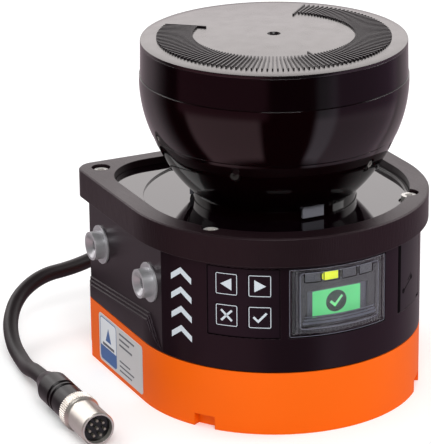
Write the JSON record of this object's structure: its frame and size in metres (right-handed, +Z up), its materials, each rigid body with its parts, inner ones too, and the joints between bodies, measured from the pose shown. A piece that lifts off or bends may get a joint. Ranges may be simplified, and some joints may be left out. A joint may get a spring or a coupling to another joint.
{
  "type": "lidar scanner module",
  "caption": "Compact safety laser scanner: D-shaped housing, goblet-shaped optics hood with angle scale, display, keypad, side fixing bushes and a short plug lead.",
  "frame": {"origin": "where the scan axis meets the plane the base stands on", "axes": "+Z up along the scan axis, -Y is the front with the display, +X is to the right when facing the display"},
  "size_m": [0.147, 0.162, 0.1321],
  "materials": {
    "orange_plastic": "satin moulded",
    "black_housing": "fine satin moulded",
    "cover_black": "fine textured",
    "gloss_black": "polished",
    "cap_black": "satin polished",
    "scale_metal": "satin, printed scale",
    "screw_steel": "machined",
    "bush_steel": "turned",
    "nickel": "nickel plated",
    "gasket_rubber": "moulded",
    "cast_aluminium": "cast and machined",
    "motor_steel": "ground",
    "circuit_board": "solder mask",
    "first_surface_mirror": "polished",
    "lens_glass": "polished",
    "key_black": "satin with printed symbols",
    "clear_window": "polished",
    "bezel_grey": "satin moulded",
    "guide_clear": "smoked clear",
    "lit_yellow": "lit",
    "lcd_green": "lit display",
    "flap_black": "soft satin",
    "lead_jacket": "smooth flexible plastic",
    "plug_black": "moulded",
    "pin_gold": "plated",
    "label_silver": "printed film",
    "window_smoke": "diffusing"
  },
  "bodies": {
    "housing": {"base_housing": "orange_plastic", "base_gasket": "gasket_rubber", "base_screws": "screw_steel", "main_housing": "black_housing", "side_fixing_bushes": "bush_steel", "cover_seal": "gasket_rubber", "cover_ring": "cover_black", "cover_screws": "screw_steel", "dish_plate": "gloss_black", "optics_hood": "gloss_black", "foot_light_windows": "window_smoke", "soil_sensor_lenses": "window_smoke", "hood_cap": "cap_black", "scale_plate": "scale_metal", "optics_deck": "cast_aluminium", "deck_screws": "screw_steel", "motor_stator": "motor_steel", "motor_bearings": "motor_steel", "optics_column": "cast_aluminium", "receiver_lens": "lens_glass", "laser_module": "motor_steel", "receiver_board": "circuit_board", "main_board": "circuit_board", "board_screws": "screw_steel", "keypad_panel": "black_housing", "keypad_board": "circuit_board", "display_window": "clear_window", "display_bezel": "bezel_grey", "status_light_guides": "guide_clear", "lit_light_guide": "lit_yellow", "lcd_module": "lcd_green", "display_board": "circuit_board", "flap_hinge_pin": "screw_steel", "service_socket": "nickel", "service_board": "circuit_board", "connector_block": "black_housing", "block_screws": "screw_steel", "strain_relief": "plug_black", "lead": "lead_jacket", "plug_body": "plug_black", "plug_insert": "plug_black", "plug_pins": "pin_gold", "rating_label": "label_silver"},
    "scan_rotor": {"motor_shaft": "motor_steel", "encoder_disc": "motor_steel", "mirror_carrier": "cast_aluminium", "scan_mirror": "first_surface_mirror"},
    "key_left": {"key_left": "key_black"},
    "key_right": {"key_right": "key_black"},
    "key_cancel": {"key_cancel": "key_black"},
    "key_confirm": {"key_confirm": "key_black"},
    "service_flap": {"service_flap": "flap_black"},
    "plug_collar": {"plug_collar": "nickel"}
  },
  "joints": [
    {"name": "scan_spin", "type": "hinge", "parent": "housing", "child": "scan_rotor", "pos_m": [0, 0, 0.09], "axis": [0, 0, 1], "continuous": true},
    {"name": "key_left_press", "type": "slide", "parent": "housing", "child": "key_left", "axis": [0.7118, 0.7024, 0], "range_m": [0, 0.0004], "stiffness_N_per_m": 2500, "springref_m": -0.0002},
    {"name": "key_right_press", "type": "slide", "parent": "housing", "child": "key_right", "axis": [0.539, 0.8423, 0], "range_m": [0, 0.0004], "stiffness_N_per_m": 2500, "springref_m": -0.0002},
    {"name": "key_cancel_press", "type": "slide", "parent": "housing", "child": "key_cancel", "axis": [0.7118, 0.7024, 0], "range_m": [0, 0.0004], "stiffness_N_per_m": 2500, "springref_m": -0.0002},
    {"name": "key_confirm_press", "type": "slide", "parent": "housing", "child": "key_confirm", "axis": [0.539, 0.8423, 0], "range_m": [0, 0.0004], "stiffness_N_per_m": 2500, "springref_m": -0.0002},
    {"name": "flap_hinge", "type": "hinge", "parent": "housing", "child": "service_flap", "pos_m": [0.02584, -0.04513, 0.0496], "axis": [0, 0, -1], "range_deg": [0, 90]},
    {"name": "collar_spin", "type": "hinge", "parent": "housing", "child": "plug_collar", "pos_m": [-0.084, -0.02, 0.007], "axis": [0, -1, 0], "continuous": true}
  ]
}
